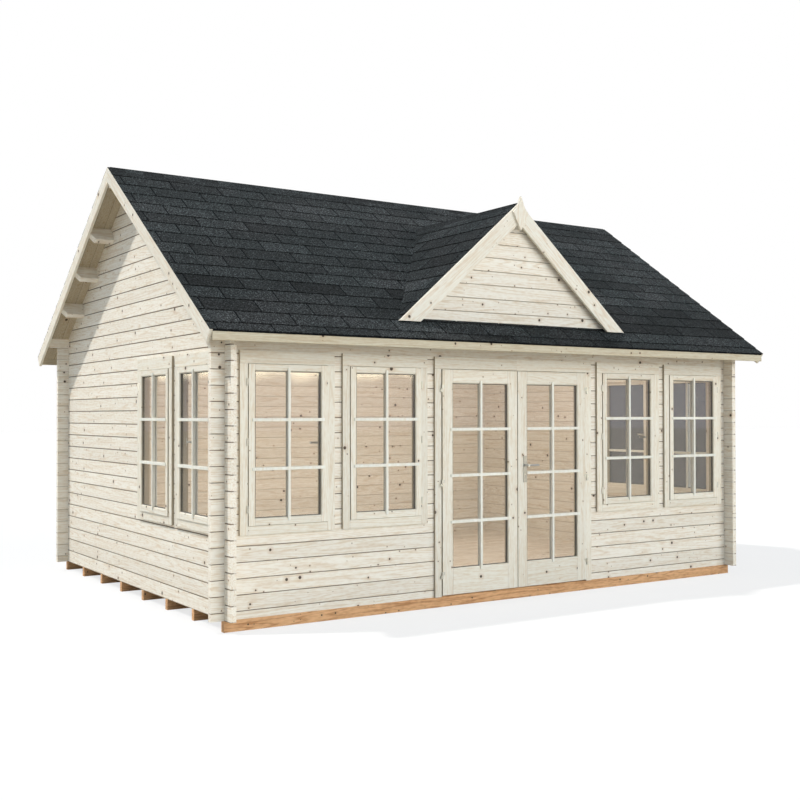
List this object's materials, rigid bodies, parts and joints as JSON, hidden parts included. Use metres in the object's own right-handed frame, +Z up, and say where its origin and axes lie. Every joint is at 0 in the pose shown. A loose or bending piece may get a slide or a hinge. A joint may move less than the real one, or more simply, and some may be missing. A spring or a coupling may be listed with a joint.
{
  "type": "garden log cabin",
  "caption": "Log garden cabin with a shingled gable roof, a gablet over double glazed doors, and paned windows on three sides.",
  "frame": {"origin": "centre of the plan at the underside of the bearers, on the ground", "axes": "+X along the front wall to the right as seen from outside, -Y out through the doors, +Z up"},
  "size_m": [5.69, 4.316, 3.618],
  "materials": {
    "spruce": "planed",
    "joinery": "planed",
    "treated_timber": "treated",
    "shingle": "granular bitumen",
    "glass": "clear",
    "steel": "zinc",
    "handle_metal": "satin"
  },
  "bodies": {
    "building": {"bearers": "treated_timber", "floor_boards": "spruce", "front_wall_left": "spruce", "front_wall_right": "spruce", "front_wall_over_door": "spruce", "back_wall": "spruce", "left_wall": "spruce", "right_wall": "spruce", "left_gable": "spruce", "right_gable": "spruce", "purlins": "spruce", "roof_boards_front": "spruce", "roof_boards_back": "spruce", "shingles_front": "shingle", "shingles_back": "shingle", "ridge_caps": "shingle", "eave_fascias": "spruce", "left_barge_board_front": "spruce", "left_barge_board_back": "spruce", "right_barge_board_front": "spruce", "right_barge_board_back": "spruce", "gablet_face": "spruce", "gablet_boards_left": "spruce", "gablet_boards_right": "spruce", "gablet_shingles_left": "shingle", "gablet_shingles_right": "shingle", "gablet_barge_board_left": "spruce", "gablet_barge_board_right": "spruce", "gablet_finial": "spruce", "door_frame": "joinery", "door_frame_hinges": "steel", "front_window_frames": "joinery", "front_window_sashes": "joinery", "side_window_frames": "joinery", "side_window_sashes": "joinery", "window_glass": "glass", "window_hinges": "steel"},
    "left_door": {"left_door_leaf": "joinery", "left_door_glass": "glass", "left_door_hinges": "steel"},
    "right_door": {"right_door_leaf": "joinery", "right_door_glass": "glass", "right_door_hinges": "steel", "lock_plates": "handle_metal"},
    "lever": {"door_lever": "handle_metal"}
  },
  "joints": [
    {"name": "left_door_hinge", "type": "hinge", "parent": "building", "child": "left_door", "pos_m": [-0.77, -1.937, 0.983], "axis": [0, 0, -1], "range_deg": [0, 165]},
    {"name": "right_door_hinge", "type": "hinge", "parent": "building", "child": "right_door", "pos_m": [0.77, -1.937, 0.983], "axis": [0, 0, 1], "range_deg": [0, 165]},
    {"name": "lever_turn", "type": "hinge", "parent": "right_door", "child": "lever", "pos_m": [0.078, -1.908, 1.106], "axis": [0, 1, 0], "range_deg": [0, 40], "stiffness_Nm_per_rad": 1, "springref_deg": -20.05}
  ]
}
